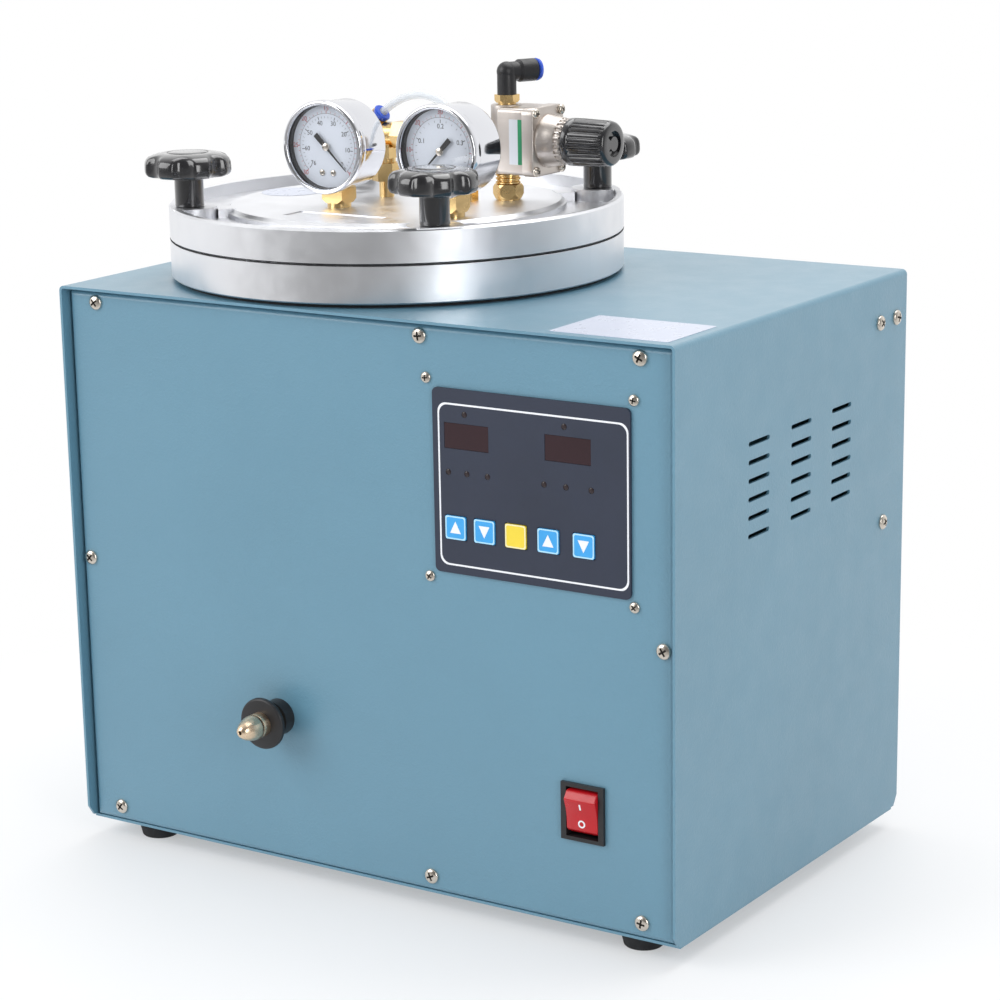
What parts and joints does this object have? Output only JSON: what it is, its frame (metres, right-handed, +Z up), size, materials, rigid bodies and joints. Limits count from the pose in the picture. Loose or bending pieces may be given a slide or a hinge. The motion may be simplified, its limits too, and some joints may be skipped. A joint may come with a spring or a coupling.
{
  "type": "jewelry wax injector",
  "caption": "Bench wax injector: a heated pot under a lid clamped by star knobs, gauges, an air regulator, a spring nozzle, a keyed controller and a rocker switch on a sheet steel cabinet.",
  "frame": {"origin": "centre of the object's bounding box in plan, on the surface that the rubber feet stand on", "axes": "+X to the object's right, -Y its front where the nozzle points, +Z up"},
  "size_m": [0.3948, 0.2866, 0.4378],
  "materials": {
    "teal_coat": "fine textured powder coat, satin",
    "zinc_steel": "zinc plated sheet",
    "screw_steel": "nickel plated, glossy",
    "spring_steel": "spring wire",
    "foot_rubber": "matt moulded rubber",
    "fascia_slate": "matt printed overlay",
    "window_black": "smoked window",
    "lamp_red": "small round lamps, off",
    "board_green": "printed circuit board",
    "key_blue": "soft touch key",
    "key_yellow": "soft touch key",
    "black_plastic": "moulded phenolic and nylon, satin",
    "rocker_red": "glossy red rocker",
    "brass": "turned brass",
    "cast_aluminium": "bead blasted casting with turned rims",
    "gasket_black": "heat insulating ring",
    "seal_red": "silicone",
    "heater_band": "mica heater band in a steel sheath",
    "insulation_felt": "glass fibre felt",
    "pump_grey": "die cast and painted",
    "core_steel": "laminated core with a wound bobbin",
    "valve_alloy": "machined block with moulded coils",
    "inlet_black": "moulded inlet",
    "chrome": "polished chrome plate",
    "dial_white": "white dial with plain numbers",
    "gauge_glass": "clear lens",
    "pointer_black": "black pointer",
    "collet_blue": "blue release collet",
    "clear_tube": "clear polyurethane tube",
    "taupe_zinc": "satin metallic coat on a die casting"
  },
  "bodies": {
    "cabinet": {"base_pan": "teal_coat", "feet": "foot_rubber", "front_frame": "zinc_steel", "rear_frame": "zinc_steel", "front_panel": "teal_coat", "rear_panel": "teal_coat", "cover": "teal_coat", "pan_head_screws": "screw_steel", "control_fascia": "fascia_slate", "display_windows": "window_black", "indicator_lamps": "lamp_red", "control_board": "board_green", "switch_housing": "black_plastic", "nozzle_block": "brass", "nozzle_bush": "black_plastic", "nozzle_spring": "spring_steel", "outlet_pipe": "brass", "wax_pot": "cast_aluminium", "flange_gasket": "gasket_black", "pot_heater": "heater_band", "pot_insulation": "insulation_felt", "pot_seal": "seal_red", "lid_studs": "screw_steel", "vacuum_pump": "pump_grey", "power_supply": "core_steel", "solenoid_valves": "valve_alloy", "power_inlet": "inlet_black"},
    "lid_assembly": {"lid": "cast_aluminium", "gauge_cases": "chrome", "gauge_dials": "dial_white", "gauge_lenses": "gauge_glass", "brass_fittings": "brass", "vent_valve": "brass", "tube_collars": "collet_blue", "clear_tube": "clear_tube", "regulator_body": "taupe_zinc", "regulator_bonnet": "taupe_zinc"},
    "nozzle": {"nozzle_stem": "brass", "nozzle_disc": "black_plastic", "nozzle_tip": "brass"},
    "rocker": {"switch_rocker": "rocker_red"},
    "key_up_left": {"key_up_left": "key_blue"},
    "key_down_left": {"key_down_left": "key_blue"},
    "key_start": {"key_start": "key_yellow"},
    "key_up_right": {"key_up_right": "key_blue"},
    "key_down_right": {"key_down_right": "key_blue"},
    "washer_1": {"knob_washer_1": "screw_steel"},
    "knob_1": {"star_knob_1": "black_plastic"},
    "washer_2": {"knob_washer_2": "screw_steel"},
    "knob_2": {"star_knob_2": "black_plastic"},
    "washer_3": {"knob_washer_3": "screw_steel"},
    "knob_3": {"star_knob_3": "black_plastic"},
    "washer_4": {"knob_washer_4": "screw_steel"},
    "knob_4": {"star_knob_4": "black_plastic"},
    "vacuum_needle": {"vacuum_pointer": "pointer_black"},
    "pressure_needle": {"pressure_pointer": "pointer_black"},
    "spindle": {"regulator_spindle": "screw_steel"},
    "regulator_handle": {"regulator_knob": "black_plastic"},
    "inlet_elbow": {"elbow": "black_plastic"},
    "inlet_collet": {"elbow_collet": "collet_blue"}
  },
  "joints": [
    {"name": "lid_lift", "type": "slide", "parent": "cabinet", "child": "lid_assembly", "axis": [0, 0, 1], "range_m": [0, 0.25]},
    {"name": "knob_1_rise", "type": "slide", "parent": "lid_assembly", "child": "washer_1", "axis": [0, 0, 1], "range_m": [0, 0.0101]},
    {"name": "knob_1_turn", "type": "hinge", "parent": "washer_1", "child": "knob_1", "pos_m": [-0.13753, 0.09678, 0.3833], "axis": [0, 0, 1], "range_deg": [0, 2880]},
    {"name": "knob_2_rise", "type": "slide", "parent": "lid_assembly", "child": "washer_2", "axis": [0, 0, 1], "range_m": [0, 0.0101]},
    {"name": "knob_2_turn", "type": "hinge", "parent": "washer_2", "child": "knob_2", "pos_m": [-0.13753, -0.06628, 0.3833], "axis": [0, 0, 1], "range_deg": [0, 2880]},
    {"name": "knob_3_rise", "type": "slide", "parent": "lid_assembly", "child": "washer_3", "axis": [0, 0, 1], "range_m": [0, 0.0101]},
    {"name": "knob_3_turn", "type": "hinge", "parent": "washer_3", "child": "knob_3", "pos_m": [0.02553, -0.06628, 0.3833], "axis": [0, 0, 1], "range_deg": [0, 2880]},
    {"name": "knob_4_rise", "type": "slide", "parent": "lid_assembly", "child": "washer_4", "axis": [0, 0, 1], "range_m": [0, 0.0101]},
    {"name": "knob_4_turn", "type": "hinge", "parent": "washer_4", "child": "knob_4", "pos_m": [0.02553, 0.09678, 0.3833], "axis": [0, 0, 1], "range_deg": [0, 2880]},
    {"name": "nozzle_press", "type": "slide", "parent": "cabinet", "child": "nozzle", "axis": [0, 1, 0], "range_m": [0, 0.005], "stiffness_N_per_m": 800, "springref_m": -0.005, "deforming": ["nozzle_spring"]},
    {"name": "rocker_tilt", "type": "hinge", "parent": "cabinet", "child": "rocker", "pos_m": [0.1385, -0.10625, 0.0738], "axis": [-1, 0, 0], "range_deg": [0, 20]},
    {"name": "key_up_left_press", "type": "slide", "parent": "cabinet", "child": "key_up_left", "axis": [0, 1, 0], "range_m": [0, 0.0005], "stiffness_N_per_m": 400, "springref_m": -0.001},
    {"name": "key_down_left_press", "type": "slide", "parent": "cabinet", "child": "key_down_left", "axis": [0, 1, 0], "range_m": [0, 0.0005], "stiffness_N_per_m": 400, "springref_m": -0.001},
    {"name": "key_start_press", "type": "slide", "parent": "cabinet", "child": "key_start", "axis": [0, 1, 0], "range_m": [0, 0.0005], "stiffness_N_per_m": 400, "springref_m": -0.001},
    {"name": "key_up_right_press", "type": "slide", "parent": "cabinet", "child": "key_up_right", "axis": [0, 1, 0], "range_m": [0, 0.0005], "stiffness_N_per_m": 400, "springref_m": -0.001},
    {"name": "key_down_right_press", "type": "slide", "parent": "cabinet", "child": "key_down_right", "axis": [0, 1, 0], "range_m": [0, 0.0005], "stiffness_N_per_m": 400, "springref_m": -0.001},
    {"name": "vacuum_reading", "type": "hinge", "parent": "lid_assembly", "child": "vacuum_needle", "pos_m": [-0.069, -0.02075, 0.3954], "axis": [0.0349, -0.9994, 0], "range_deg": [0, 270], "stiffness_Nm_per_rad": 0.001, "springref_deg": -17.19},
    {"name": "pressure_reading", "type": "hinge", "parent": "lid_assembly", "child": "pressure_needle", "pos_m": [0.00953, -0.02578, 0.3971], "axis": [0, 1, 0], "range_deg": [0, 270], "stiffness_Nm_per_rad": 0.001, "springref_deg": -17.19},
    {"name": "regulator_turn", "type": "hinge", "parent": "lid_assembly", "child": "spindle", "pos_m": [0.0303, 0.04325, 0.39525], "axis": [-1, 0, 0], "range_deg": [0, 1800]},
    {"name": "regulator_pull", "type": "slide", "parent": "spindle", "child": "regulator_handle", "axis": [1, 0, 0], "range_m": [0, 0.0025]},
    {"name": "elbow_swivel", "type": "hinge", "parent": "lid_assembly", "child": "inlet_elbow", "pos_m": [0.0003, 0.04325, 0.4216], "axis": [0, 0, 1], "continuous": true},
    {"name": "collet_press", "type": "slide", "parent": "inlet_elbow", "child": "inlet_collet", "axis": [-0.4226, -0.9063, 0], "range_m": [0, 0.0009], "stiffness_N_per_m": 500, "springref_m": -0.001}
  ],
  "couplings": [
    {"joint": "knob_1_rise", "follows": "knob_1_turn", "m_per_rad": 0.00019894},
    {"joint": "knob_2_rise", "follows": "knob_2_turn", "m_per_rad": 0.00019894},
    {"joint": "knob_3_rise", "follows": "knob_3_turn", "m_per_rad": 0.00019894},
    {"joint": "knob_4_rise", "follows": "knob_4_turn", "m_per_rad": 0.00019894}
  ]
}
